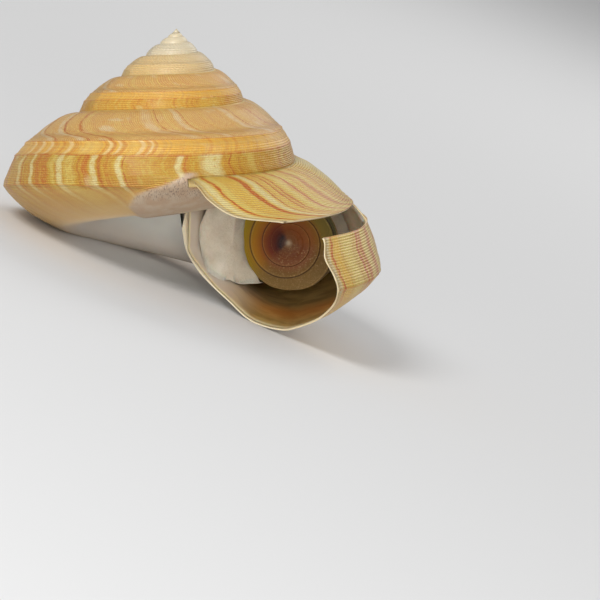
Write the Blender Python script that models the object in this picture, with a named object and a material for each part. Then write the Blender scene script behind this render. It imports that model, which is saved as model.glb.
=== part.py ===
"""A slit shell (a top-shaped sea snail shell with an open slit in its lip), with its operculum on a wad.

The shell is one spiral sweep. Each row of points is one growth line, from the suture over the flank, the
keel and the base to the columella. Row 0 is the lip, and row -36 is the same growth line one whorl earlier.
A row is the outline below, scaled by the growth law and turned round the coil axis. Neighbouring whorls
share the points of the suture, and the hollow inside is a second, smaller outline on the same rows.
Lengths are metres. Angles are degrees, and an angle of growth runs from the apex to the lip.
"""

import math

import bmesh
import bpy
from mathutils import Matrix, Vector

MM = 0.001

# Growth of the shell
EXPANSION = 1.745  # how many times larger each whorl is than the one before it
WHORL_ROWS = 36  # growth lines in one whorl
ROW_ANGLE = 360 / WHORL_ROWS
FIRST_ROW = -6 * WHORL_ROWS  # the first growth line of the spire, six whorls before the lip
HOLLOW_ROW = -41  # the hollow of the tube is modelled from here to the lip
LIP_AZIMUTH = -46  # where growth angle 0 lies round the coil axis; the shell coils clockwise from above
TIP_PINCH = 0.3  # how much narrower the very tip is than the cone of the later whorls
TIP_SIZE = 0.06  # growth scale at which the pinch has mostly faded

# Near the lip the tube sinks a little and turns in, as a full-grown shell's does
SINK_START = -150  # growth angle at which it begins; it is complete at 0
LIP_SINK = 1.36 * MM
LIP_TUCK = 0.45 * MM
SEAT_SLIDE = 1.24  # how many outline columns further down the older whorl the sunken suture sits
SLIDE_SHARE = {"flank": 0.5, "seat": 1, "keel": 1, "keel_under": 0.66, "base_outer": 0.33}
SLIDE_FADE = 60  # degrees beyond the lip in which the columns return to their own places

# Outline of the wall at lip size: its distance from the coil axis and depth below the apex, in
# millimetres, and how many degrees a growth line runs ahead of the slit's lower corner there.
SEAT = (36.72, 35.10)  # where the next whorl sits on the flank; one whorl later it is the suture
OUTLINE = {
    "suture": (SEAT[0] / EXPANSION, SEAT[1] / EXPANSION, 36.7),
    "ramp_upper": (24.46, 21.02, 33.8),
    "ramp_lower": (27.74, 23.15, 30.6),
    "ramp_edge": (30.40, 25.47, 23.5),
    "slit_top": (31.83, 26.74, 9),
    "slit_middle": (33.24, 28.04, 4.5),
    "slit_bottom": (34.45, 29.55, -2.5),
    "flank": (35.85, 32.50, -1.2),
    "seat": (SEAT[0], SEAT[1], -3.3),
    "keel": (37.25, 36.90, -4.2),
    "keel_under": (36.55, 38.70, -5.8),
    "base_outer": (34.30, 40.90, -9.4),
    "base_middle": (30.60, 43.60, -13),
    "base_low": (26.00, 45.70, -16.5),
    "base_lowest": (22.40, 46.56, -17.5),
    "base_inner": (17.28, 45.28, -14.5),
    "funnel_outer": (12.90, 42.08, -12),
    "funnel_middle": (9.68, 39.52, -9),
    "funnel_inner": (7.36, 36.96, -3.5),
    "column_low": (5.92, 33.12, 10),
    "column_high": (5.12, 29.60, 15),
}
COLUMNS = list(OUTLINE)
WALL = 0.85 * MM  # thickness of the wall at the lip

# The slit, and the band that closes it behind
SLIT_END_ROW = -5
SLIT_END_LEAD = 11.5  # how far ahead of its row the closed end of the slit lies
SLIT_ROUNDING = 4.0  # how much further back the middle of the closed end is
SLIT_COLUMNS = ("slit_top", "slit_middle", "slit_bottom")

# Rows by which a whorl's suture and the inner end of its wall are ahead of what they sit on
SUTURE_ROWS = WHORL_ROWS - round((OUTLINE["suture"][2] - OUTLINE["seat"][2]) / ROW_ANGLE)
COLUMN_ROWS = WHORL_ROWS - round((OUTLINE["column_high"][2] - OUTLINE["funnel_outer"][2]) / ROW_ANGLE)

FUNNEL_BOTTOM = 17.0 * MM  # depth at which the funnel of the base closes on the coil axis

# The operculum: a thin, slightly dished horny disc, facing out of the aperture
LID_RADIUS = 7.5 * MM
LID_THICKNESS = 0.45 * MM
LID_DISH = 0.7 * MM
LID_CENTRE = Vector((20.1, -3.2, -33.2)) * MM
LID_RINGS = 7
LID_SEGMENTS = 48

# The wad: soft packing that fills the tube behind the lid and beside it
WAD_FRONT = -46  # growth angle of its front edge
WAD_DEPTH = 36  # degrees of the tube that it fills
WAD_ROWS = 5
WAD_CLEARANCE = 1.4 * MM  # from the outer face of the wall to the wad, at lip size
WAD_ROOF_GAP = 0.95 * MM  # below the older whorl, which roofs the tube
WAD_DOME = 1.5 * MM
WAD_CAP_SHARES = (0.8, 0.55, 0.3)
WAD_SWELL = 4.2 * MM  # how far it swells forward beside the lid
WAD_SWELL_EDGE = 11.9 * MM
WAD_SWELL_WIDTH = 5.0 * MM
WAD_TUCK = 0.5 * MM  # how far inside the lid's edge its front stays, and over what width that sets in
WAD_TUCK_WIDTH = 4.0 * MM

# How the shell lies: tilted about a level line until it rests on its base and lip, turned about the
# vertical so that the aperture faces -Y, and placed so that its lowest spots, worn flat, are at height 0
REST_TILT = 19.16
REST_TILT_AZIMUTH = -104.4
REST_TURN = 1.73
REST_PLACE = Vector((-13.72, 1.15, 37.91)) * MM  # where the tip's own origin goes, the part's box being centred
SHARP_ANGLE = 35  # faces that meet at more than this keep a crisp edge between them


def growth(angle):
    return EXPANSION ** (angle / 360)


def lead(name, row):
    """How many degrees a point runs ahead of its row. The slit's two edges end level at its closed end."""
    at_lip = OUTLINE[name][2]
    if name not in SLIT_COLUMNS:
        return at_lip
    at_end = SLIT_END_LEAD
    if name == "slit_middle":
        at_end -= SLIT_ROUNDING * max(0, 1 - abs(row - SLIT_END_ROW) / 2)
    blend = min(1, row / SLIT_END_ROW) if row < 0 else 0
    return at_lip + (at_end - at_lip) * blend


def sinking(angle):
    """0 where the tube still follows the plain spiral, and 1 at the lip."""
    part = min(1, max(0, 1 - angle / SINK_START))
    return part * part * (3 - 2 * part)


def coil_point(radius, depth, angle):
    """A point of the outline, in metres at lip size, after the growth law has placed it."""
    scale = growth(angle)
    pinch = 1 - TIP_PINCH * math.exp(-scale / TIP_SIZE)
    azimuth = math.radians(LIP_AZIMUTH - angle)
    across = radius * scale * pinch - LIP_TUCK * sinking(angle) * radius / (SEAT[0] * MM)
    down = depth * scale + LIP_SINK * sinking(angle)
    return Vector((across * math.cos(azimuth), across * math.sin(azimuth), -down))


def slid_outline(name, angle):
    """The outline's radius and depth, moved down the older whorl where the last suture has sunk."""
    beyond = max(0, angle + 360 - OUTLINE["suture"][2])
    fade = max(0, 1 - beyond / SLIDE_FADE)
    slide = SEAT_SLIDE * SLIDE_SHARE.get(name, 0) * sinking(angle + 360) * fade
    place = COLUMNS.index(name) + slide
    near = int(place)
    far = min(near + 1, len(COLUMNS) - 1)
    blend = place - near
    radius = OUTLINE[COLUMNS[near]][0] * (1 - blend) + OUTLINE[COLUMNS[far]][0] * blend
    depth = OUTLINE[COLUMNS[near]][1] * (1 - blend) + OUTLINE[COLUMNS[far]][1] * blend
    return radius * MM, depth * MM


def outer_point(name, row):
    angle = row * ROW_ANGLE + lead(name, row)
    radius, depth = slid_outline(name, angle)
    return coil_point(radius, depth, angle)


def inset_outline(distance):
    """The outline moved into the tube, square to itself."""
    points = [Vector((OUTLINE[name][0], OUTLINE[name][1])) * MM for name in COLUMNS]
    inset = {}
    for number in range(1, len(points) - 1):
        before = (points[number] - points[number - 1]).normalized()
        after = (points[number + 1] - points[number]).normalized()
        along = (before + after).normalized()
        inward = Vector((-along.y, along.x))
        miter = distance / max(0.6, before.dot(along))
        inset[COLUMNS[number]] = points[number] + inward * miter
    return inset


class ShellMesh:
    """The shell's points, made once each and shared by every face that meets there."""

    def __init__(self):
        self.mesh = bmesh.new()
        self.points = {}
        self.inner_outline = inset_outline(WALL)

    def point(self, key, place):
        if key not in self.points:
            self.points[key] = self.mesh.verts.new(place)
        return self.points[key]

    def outer(self, name, row):
        if name == "suture" and row - SUTURE_ROWS >= FIRST_ROW:
            return self.outer("seat", row - SUTURE_ROWS)
        return self.point(("outer", name, row), outer_point(name, row))

    def inner(self, name, row):
        if name == "suture":
            return self.outer("keel", row - SUTURE_ROWS)
        if name == COLUMNS[-1]:
            return self.outer("funnel_outer", row - COLUMN_ROWS)
        radius, depth = self.inner_outline[name]
        place = coil_point(radius, depth, row * ROW_ANGLE + lead(name, row))
        return self.point(("inner", name, row), place)

    def face(self, *corners):
        distinct = list(dict.fromkeys(corners))
        if len(distinct) > 2:
            self.mesh.faces.new(distinct)

    def strip(self, side, first, last, rows):
        """Faces between neighbouring columns, from the first named column to the last."""
        span = COLUMNS[COLUMNS.index(first):COLUMNS.index(last) + 1]
        for left, right in zip(span, span[1:]):
            for row in rows:
                if left in SLIT_COLUMNS and right in SLIT_COLUMNS and row >= SLIT_END_ROW:
                    continue
                self.face(side(left, row), side(left, row + 1), side(right, row + 1), side(right, row))

    def fan(self, centre, rim):
        for near, far in zip(rim, rim[1:]):
            self.face(centre, near, far)


def build_slit_edges(shell):
    """The cut faces along both sides of the slit and round its closed end."""
    for name in ("slit_top", "slit_bottom"):
        for row in range(SLIT_END_ROW, 0):
            shell.face(shell.outer(name, row), shell.outer(name, row + 1),
                       shell.inner(name, row + 1), shell.inner(name, row))
    for left, right in zip(SLIT_COLUMNS, SLIT_COLUMNS[1:]):
        row = SLIT_END_ROW
        shell.face(shell.outer(left, row), shell.outer(right, row),
                   shell.inner(right, row), shell.inner(left, row))


def build_lip(shell):
    """The thin edge of the aperture, open where the slit runs out, and the end of the columella."""
    for left, right in zip(COLUMNS, COLUMNS[1:]):
        if left in SLIT_COLUMNS and right in SLIT_COLUMNS:
            continue
        shell.face(shell.outer(left, 0), shell.outer(right, 0), shell.inner(right, 0), shell.inner(left, 0))
    older = COLUMNS[COLUMNS.index("funnel_outer"):]
    rim = [shell.outer(name, -COLUMN_ROWS) for name in older]
    rim.append(shell.point("axis", (0, 0, -FUNNEL_BOTTOM)))
    shell.fan(shell.outer(COLUMNS[-1], 0), rim)


def build_tube_end(shell):
    """The blind end of the modelled hollow."""
    row = HOLLOW_ROW
    rim = [shell.inner(name, row) for name in COLUMNS]
    base = COLUMNS[COLUMNS.index("keel"):COLUMNS.index("funnel_outer") + 1]
    rim += [shell.outer(name, row - COLUMN_ROWS) for name in reversed(base)]
    rim += [shell.outer("keel", older) for older in range(row - COLUMN_ROWS, row - SUTURE_ROWS + 1)]
    rim = list(dict.fromkeys(rim))
    middle = sum((vertex.co for vertex in rim), Vector()) / len(rim)
    shell.fan(shell.point("tube_end", middle), rim + rim[:1])


def build_tip(shell):
    rim = [shell.outer(name, FIRST_ROW) for name in reversed(COLUMNS[:COLUMNS.index("seat") + 1])]
    rim += [shell.outer("suture", row) for row in range(FIRST_ROW + 1, FIRST_ROW + SUTURE_ROWS + 1)]
    shell.fan(shell.point("tip", (0, 0, 0)), rim)


def build_shell():
    shell = ShellMesh()
    whole = range(FIRST_ROW, 0)
    shell.strip(shell.outer, "suture", "seat", whole)
    shell.strip(shell.outer, "seat", "keel", range(-SUTURE_ROWS, 0))
    shell.strip(shell.outer, "keel", "funnel_outer", range(HOLLOW_ROW - COLUMN_ROWS, 0))
    shell.strip(shell.outer, "funnel_outer", COLUMNS[-1], range(-COLUMN_ROWS, 0))
    axis = shell.point("axis", (0, 0, -FUNNEL_BOTTOM))
    shell.fan(axis, [shell.outer(COLUMNS[-1], row) for row in range(-COLUMN_ROWS, 1)])
    shell.strip(shell.inner, "suture", COLUMNS[-1], range(HOLLOW_ROW, 0))
    build_slit_edges(shell)
    build_lip(shell)
    build_tube_end(shell)
    build_tip(shell)
    return shell.mesh


def build_operculum():
    """Front and back of the dish, ring by ring from the middle, joined at a round edge."""
    mesh = bmesh.new()

    def ring(radius, height):
        corners = []
        for step in range(LID_SEGMENTS):
            turn = math.tau * step / LID_SEGMENTS
            corners.append(mesh.verts.new((radius * math.cos(turn), height, radius * math.sin(turn))))
        return corners

    def dish(radius):
        return LID_DISH * (1 - (radius / LID_RADIUS) ** 2)

    radii = [LID_RADIUS * number / LID_RINGS for number in range(1, LID_RINGS)]
    rings = [ring(radius, dish(radius)) for radius in radii]
    rings.append(ring(LID_RADIUS - LID_THICKNESS / 4, 0))
    rings.append(ring(LID_RADIUS, LID_THICKNESS / 2))
    rings.append(ring(LID_RADIUS - LID_THICKNESS / 4, LID_THICKNESS))
    rings += [ring(radius, dish(radius) + LID_THICKNESS) for radius in reversed(radii[::2])]
    for one, other in zip(rings, rings[1:]):
        for step in range(LID_SEGMENTS):
            following = (step + 1) % LID_SEGMENTS
            mesh.faces.new((one[step], one[following], other[following], other[step]))
    for end, height in ((rings[0], LID_DISH), (rings[-1], LID_DISH + LID_THICKNESS)):
        centre = mesh.verts.new((0, height, 0))
        for step in range(LID_SEGMENTS):
            mesh.faces.new((centre, end[step], end[(step + 1) % LID_SEGMENTS]))
    bmesh.ops.translate(mesh, verts=mesh.verts, vec=LID_CENTRE)
    return mesh


def wad_section(angle):
    """A loop of places round the inside of the tube at one angle, clear of the wall all round."""
    inset = inset_outline(WAD_CLEARANCE)
    section = [coil_point(*inset[name], angle) for name in COLUMNS[2:-2]]
    roof = COLUMNS[COLUMNS.index("keel_under"):COLUMNS.index("funnel_outer")]
    for name in reversed(roof):
        radius, depth = slid_outline(name, angle - 360)
        section.append(coil_point(radius, depth, angle - 360) - Vector((0, 0, WAD_ROOF_GAP)))
    return section


def swell(place):
    """Move a place of the wad's front towards the aperture: domed behind the lid, more so beside it."""
    beside = min(1, max(0, (WAD_SWELL_EDGE - place.x) / WAD_SWELL_WIDTH))
    return place + Vector((0, -WAD_SWELL * beside * beside * (3 - 2 * beside), 0))


def tuck(place):
    """Draw a place of the wad's front in behind the lid, from the lid's left edge rightwards."""
    right = min(1, max(0, (place.x - WAD_SWELL_EDGE) / WAD_TUCK_WIDTH))
    off = place - LID_CENTRE
    excess = max(0, 1 - (LID_RADIUS - WAD_TUCK) / math.hypot(off.x, off.z))
    share = 1 - right * right * (3 - 2 * right) * excess
    return Vector((LID_CENTRE.x + off.x * share, place.y, LID_CENTRE.z + off.z * share))


def wad_cap(rim, reach):
    """Ever smaller copies of an end loop, from the rim inwards, that rise into a dome."""
    middle = sum(rim, Vector()) / len(rim)
    loops = []
    for share in WAD_CAP_SHARES:
        rise = Vector((0, reach * (1 - share * share), 0))
        loops.append([middle + (place - middle) * share + rise for place in rim])
    return loops


def build_wad():
    """Sections along the tube, then ever smaller ones that close its two ends as domes."""
    mesh = bmesh.new()
    loops = []
    for number in range(WAD_ROWS + 1):
        loops.append(wad_section(WAD_FRONT - WAD_DEPTH * number / WAD_ROWS))
    front_cap = wad_cap(loops[0], -WAD_DOME)
    back_cap = wad_cap(loops[-1], WAD_DOME)
    loops = front_cap[::-1] + loops + back_cap
    front = len(front_cap) + 1
    rings = []
    for number, loop in enumerate(loops):
        places = [tuck(swell(place)) for place in loop] if number < front else loop
        rings.append([mesh.verts.new(place) for place in places])
    for one, other in zip(rings, rings[1:]):
        for step in range(len(one)):
            following = (step + 1) % len(one)
            mesh.faces.new((one[step], one[following], other[following], other[step]))
    for end in (rings[0], rings[-1]):
        centre = mesh.verts.new(sum((corner.co for corner in end), Vector()) / len(end))
        for step in range(len(end)):
            mesh.faces.new((centre, end[step], end[(step + 1) % len(end)]))
    return mesh


def material(name, colour, roughness):
    made = bpy.data.materials.new(name)
    made.use_nodes = True
    shader = made.node_tree.nodes["Principled BSDF"]
    shader.inputs["Base Color"].default_value = (*colour, 1)
    shader.inputs["Roughness"].default_value = roughness
    made.diffuse_color = (*colour, 1)
    return made


def add_object(name, mesh, finish):
    bmesh.ops.transform(mesh, matrix=rest_matrix(), verts=mesh.verts)
    wear_flat(mesh)
    bmesh.ops.triangulate(mesh, faces=mesh.faces)
    bmesh.ops.recalc_face_normals(mesh, faces=mesh.faces)
    data = bpy.data.meshes.new(name)
    mesh.to_mesh(data)
    mesh.free()
    data.shade_smooth()
    data.set_sharp_from_angle(angle=math.radians(SHARP_ANGLE))
    data.materials.append(finish)
    made = bpy.data.objects.new(name, data)
    bpy.context.collection.objects.link(made)
    return made


def rest_matrix():
    azimuth = math.radians(REST_TILT_AZIMUTH)
    level_line = Vector((math.cos(azimuth), math.sin(azimuth), 0))
    tilt = Matrix.Rotation(math.radians(REST_TILT), 4, level_line)
    turn = Matrix.Rotation(math.radians(REST_TURN), 4, "Z")
    return Matrix.Translation(REST_PLACE) @ turn @ tilt


def wear_flat(mesh):
    """Cut off what lies below height 0, and close each cut with a flat face."""
    cut = bmesh.ops.bisect_plane(mesh, geom=mesh.verts[:] + mesh.edges[:] + mesh.faces[:],
                                 plane_co=(0, 0, 0), plane_no=(0, 0, 1), clear_inner=True)
    rims = [item for item in cut["geom_cut"] if isinstance(item, bmesh.types.BMEdge)]
    bmesh.ops.holes_fill(mesh, edges=rims)


def main():
    for old in list(bpy.data.objects):
        bpy.data.objects.remove(old)
    add_object("shell", build_shell(), material("shell", (0.80, 0.50, 0.18), 0.35))
    add_object("operculum", build_operculum(), material("horn", (0.28, 0.12, 0.03), 0.3))
    add_object("cotton_wad", build_wad(), material("cotton", (0.62, 0.55, 0.48), 0.95))


main()
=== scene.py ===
"""The looks of a slit shell: its patterned shell, its horny operculum and the wad that holds it.

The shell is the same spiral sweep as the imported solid, made finer, with its relief. Each row of points is
one growth line, from the suture over the flank, the keel and the base to the columella. Row 0 is the lip.
Angles are degrees of growth, 0 at the lip and negative towards the tip, unless a name says otherwise.
Lengths are metres.
"""

import math

import bpy
import numpy as np
from mathutils import Matrix, Vector, noise


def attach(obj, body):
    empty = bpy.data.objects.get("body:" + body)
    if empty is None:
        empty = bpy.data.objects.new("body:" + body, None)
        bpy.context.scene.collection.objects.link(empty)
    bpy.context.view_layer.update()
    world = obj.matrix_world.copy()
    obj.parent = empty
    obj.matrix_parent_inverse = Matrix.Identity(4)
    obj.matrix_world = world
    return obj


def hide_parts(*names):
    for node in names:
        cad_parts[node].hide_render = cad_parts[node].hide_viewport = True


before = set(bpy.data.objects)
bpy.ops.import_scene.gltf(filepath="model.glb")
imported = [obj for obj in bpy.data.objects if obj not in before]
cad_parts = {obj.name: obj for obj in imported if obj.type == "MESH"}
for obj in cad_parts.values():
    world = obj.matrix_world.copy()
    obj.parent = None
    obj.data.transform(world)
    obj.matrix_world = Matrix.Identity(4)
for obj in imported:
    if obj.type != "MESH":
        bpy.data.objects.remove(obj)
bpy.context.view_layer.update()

MM = 0.001
PIXEL = 0.16 * MM  # what one pixel of the photo's frame covers at the shell

# Growth of the shell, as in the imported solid
EXPANSION = 1.745
LIP_AZIMUTH = -46
TIP_PINCH = 0.3
TIP_SIZE = 0.06
SINK_START = -150
LIP_SINK = 1.36 * MM
LIP_TUCK = 0.45 * MM
SEAT_SLIDE = 1.24
SLIDE_FADE = 60
SLIDE_SHARES = ((6, 8, 9, 10, 12), (0, 1, 1, 0.66, 0))  # places on the outline, and how much of it they slide

# The outline at lip size: distance from the coil axis and depth below the tip, in millimetres, and how
# many degrees a growth line runs ahead there
SEAT = (36.72, 35.10)
OUTLINE = {
    "suture": (SEAT[0] / EXPANSION, SEAT[1] / EXPANSION, 36.7),
    "ramp_upper": (24.46, 21.02, 33.8),
    "ramp_lower": (27.74, 23.15, 30.6),
    "ramp_edge": (30.40, 25.47, 23.5),
    "slit_top": (31.83, 26.74, 9),
    "slit_middle": (33.24, 28.04, 4.5),
    "slit_bottom": (34.45, 29.55, -2.5),
    "flank": (35.85, 32.50, -1.2),
    "seat": (SEAT[0], SEAT[1], -3.3),
    "keel": (37.25, 36.90, -4.2),
    "keel_under": (36.55, 38.70, -5.8),
    "base_outer": (34.30, 40.90, -9.4),
    "base_middle": (30.60, 43.60, -13),
    "base_low": (26.00, 45.70, -16.5),
    "base_lowest": (22.40, 46.56, -17.5),
    "base_inner": (17.28, 45.28, -14.5),
    "funnel_outer": (12.90, 42.08, -12),
    "funnel_middle": (9.68, 39.52, -9),
    "funnel_inner": (7.36, 36.96, -3.5),
    "column_low": (5.92, 33.12, 10),
    "column_high": (5.12, 29.60, 15),
}
NAMES = list(OUTLINE)
SPOT = {name: number for number, name in enumerate(NAMES)}
FUNNEL_BOTTOM = 17.0 * MM
SLIT_END = -50  # row angle at which the slit is closed
SLIT_END_LEAD = 11.5
SLIT_ROUNDING = 4.0
SLIT_FADE = 20

# Fineness of the mesh
ROW_ANGLE = 2
WHORLS = 6.38
STEPS = (7, 7, 7, 6, 7, 8, 7, 6, 6, 6, 6, 6, 6, 6, 7, 6, 6, 6, 6, 5)  # columns between outline points
HOLLOW_ANGLE = -250  # the inside of the tube is made from here to the lip

# Thickness of the wall at lip size, and what is left of it at the thin edge of the lip
WALL = 0.85 * MM
EDGE_WALL = 0.3 * MM
EDGE_WIDTH = 22
COLUMN_EXTRA = 0.3 * MM  # how much thicker the columella is, inside and at its edge
COLUMN_EDGE_EXTRA = 0.35 * MM

# How the shell lies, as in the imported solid
REST_TILT = 19.16
REST_TILT_AZIMUTH = -104.4
REST_TURN = 1.73
REST_PLACE = Vector((-13.72, 1.15, 37.91)) * MM


def smoothstep(value):
    value = np.clip(value, 0, 1)
    return value * value * (3 - 2 * value)


def spline(values, place):
    """A smooth curve through the values at whole places, read at any place between them."""
    values = np.asarray(values, dtype=float)
    place = np.clip(place, 0, len(values) - 1)
    near = np.minimum(place.astype(int), len(values) - 2)
    part = place - near
    before = values[np.maximum(near - 1, 0)]
    start = values[near]
    end = values[near + 1]
    after = values[np.minimum(near + 2, len(values) - 1)]
    slope_in = (end - before) / 2
    slope_out = (after - start) / 2
    square = part * part
    cube = square * part
    return (start * (2 * cube - 3 * square + 1) + slope_in * (cube - 2 * square + part)
            + end * (3 * square - 2 * cube) + slope_out * (cube - square))


def outline_radius(place):
    return spline([OUTLINE[name][0] for name in NAMES], place) * MM


def outline_depth(place):
    return spline([OUTLINE[name][1] for name in NAMES], place) * MM


def lip_lead(place):
    return spline([OUTLINE[name][2] for name in NAMES], place)


def lead(place, row_angle):
    """How far a point runs ahead of its row. Both edges of the slit end level, and its end is round."""
    top = SPOT["slit_top"]
    bottom = SPOT["slit_bottom"]
    across = np.clip((place - top) / (bottom - top), 0, 1)
    inside = (place > top - 1) & (place < bottom + 1)
    nearby = np.clip(1 - np.maximum(top - place, place - bottom), 0, 1) * inside
    blend = np.clip(row_angle / SLIT_END, 0, 1)
    middle = (place >= top) & (place <= bottom)
    round_end = SLIT_ROUNDING * np.sqrt(np.clip(1 - (2 * across - 1) ** 2, 0, 1)) * middle
    level = SLIT_END_LEAD - round_end * np.clip(1 - np.abs(row_angle - SLIT_END) / SLIT_FADE, 0, 1)
    plain = lip_lead(place)
    return plain + (level - plain) * blend * nearby


def growth(angle):
    return EXPANSION ** (angle / 360)


def sinking(angle):
    return smoothstep(1 - angle / SINK_START)


def slide(place, angle):
    """Where on the outline a point is taken from, once the last suture has slid down the older whorl."""
    beyond = np.maximum(0, angle + 360 - OUTLINE["suture"][2])
    fade = np.clip(1 - beyond / SLIDE_FADE, 0, 1)
    return place + SEAT_SLIDE * np.interp(place, *SLIDE_SHARES) * sinking(angle + 360) * fade


def coil_point(radius, depth, angle):
    scale = growth(angle)
    pinch = 1 - TIP_PINCH * np.exp(-scale / TIP_SIZE)
    azimuth = np.radians(LIP_AZIMUTH - angle)
    across = radius * scale * pinch - LIP_TUCK * sinking(angle) * radius / (SEAT[0] * MM)
    down = depth * scale + LIP_SINK * sinking(angle)
    return np.stack([across * np.cos(azimuth), across * np.sin(azimuth), -down], axis=-1)


def outward(place):
    """The outline's outward direction, as (away from the axis, downwards)."""
    step = 0.02
    along_radius = outline_radius(place + step) - outline_radius(place - step)
    along_depth = outline_depth(place + step) - outline_depth(place - step)
    length = np.hypot(along_radius, along_depth) + 1e-12
    return along_depth / length, -along_radius / length


def rest_matrix():
    azimuth = math.radians(REST_TILT_AZIMUTH)
    level_line = Vector((math.cos(azimuth), math.sin(azimuth), 0))
    tilt = Matrix.Rotation(math.radians(REST_TILT), 4, level_line)
    turn = Matrix.Rotation(math.radians(REST_TURN), 4, "Z")
    return Matrix.Translation(REST_PLACE) @ turn @ tilt


def arc_length(place):
    """Distance along the outline from the suture, at lip size."""
    fine = np.linspace(0, len(NAMES) - 1, 2000)
    steps = np.hypot(np.diff(outline_radius(fine)), np.diff(outline_depth(fine)))
    return np.interp(place, fine, np.concatenate([[0], np.cumsum(steps)]))


# Relief of the outer wall: heights at lip size
BAND_TOP = 4.68  # the band's edges on the outline, once it has settled behind the slit
BAND_BOTTOM = 6.44
BAND_NEW = -50  # row angle at which its edges begin to move there from the slit's own
BAND_CHANGE = 60
BAND_DEPTH = 0.16 * MM
BAND_EDGE = 0.17 * MM
BAND_EDGE_WIDTH = 0.13
KEEL_LINE = 9.4
KEEL_RIDGE = 0.22 * MM
KEEL_WIDTH = 0.22
GROWTH_HEIGHT = 0.07 * MM
GROWTH_WAVES = ((31, 0.5, 0.4), (53, 0.35, 1.9), (83, 0.3, 4.1), (137, 0.2, 2.2))  # a whorl, strength, shift
CALLUS_HEIGHT = 0.95 * MM


def bump_at(place, centre, width):
    return np.exp(-((place - centre) / width) ** 2)


def relief(place, row_angle):
    """Height of the shell's relief over its smooth outline, at lip size."""
    older = smoothstep((BAND_NEW - row_angle) / BAND_CHANGE)
    top = SPOT["slit_top"] + (BAND_TOP - SPOT["slit_top"]) * older
    bottom = SPOT["slit_bottom"] + (BAND_BOTTOM - SPOT["slit_bottom"]) * older
    band = smoothstep((place - top - 0.1) / 0.25) * smoothstep((bottom - 0.1 - place) / 0.25)
    height = -BAND_DEPTH * band
    height += BAND_EDGE * (bump_at(place, top, BAND_EDGE_WIDTH) + bump_at(place, bottom, BAND_EDGE_WIDTH))
    height += KEEL_RIDGE * bump_at(place, KEEL_LINE, KEEL_WIDTH)
    waves = np.zeros_like(row_angle)
    for turns, strength, shift in GROWTH_WAVES:
        waves += strength * np.sin(math.radians(1) * turns * row_angle + shift + 0.4 * np.sin(row_angle / 23))
    height += GROWTH_HEIGHT * waves * smoothstep((15 - place) / 3) * (1 - 0.6 * band)
    return height * smoothstep(place / 0.35)


def wall_thickness(place, row_angle):
    """Full inside the tube, and thin along the lip and the slit."""
    to_lip = -row_angle
    slit = (row_angle > SLIT_END - 4) & (place > 3) & (place < 7)
    to_slit = np.where(slit, np.maximum(4 - place, place - 6) * 9, 99)
    edge = smoothstep(np.minimum(to_lip, to_slit) / EDGE_WIDTH)
    column = smoothstep((place - 16.5) / 1.5)
    thin = EDGE_WALL + COLUMN_EDGE_EXTRA * column
    return thin + (WALL + COLUMN_EXTRA * column - thin) * edge


# The callus: the smooth layer laid on the older whorl in front of the aperture. Its front edge is given
# as the growth angle that it reaches at some places of the outline.
CALLUS_PLACES = (7.7, 8.2, 8.8, 9.6, 10.6, 12, 15, 16)
CALLUS_EDGES = (-322, -319, -315, -309, -303, -298, -300, -318)
CALLUS_BACK = -324  # and it does not go on along the suture behind this angle
CALLUS_SOFT = 2.5


def callus_cover(place, angle, soft=CALLUS_SOFT):
    edge = np.interp(place, CALLUS_PLACES, CALLUS_EDGES)
    reach = smoothstep((edge - angle) / soft + 0.5) * smoothstep((place - CALLUS_PLACES[0] + 0.3) / 0.3)
    behind = smoothstep((CALLUS_BACK - angle) / 6) * smoothstep((9.6 - place) / 0.4)
    return reach * (1 - behind)


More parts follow.
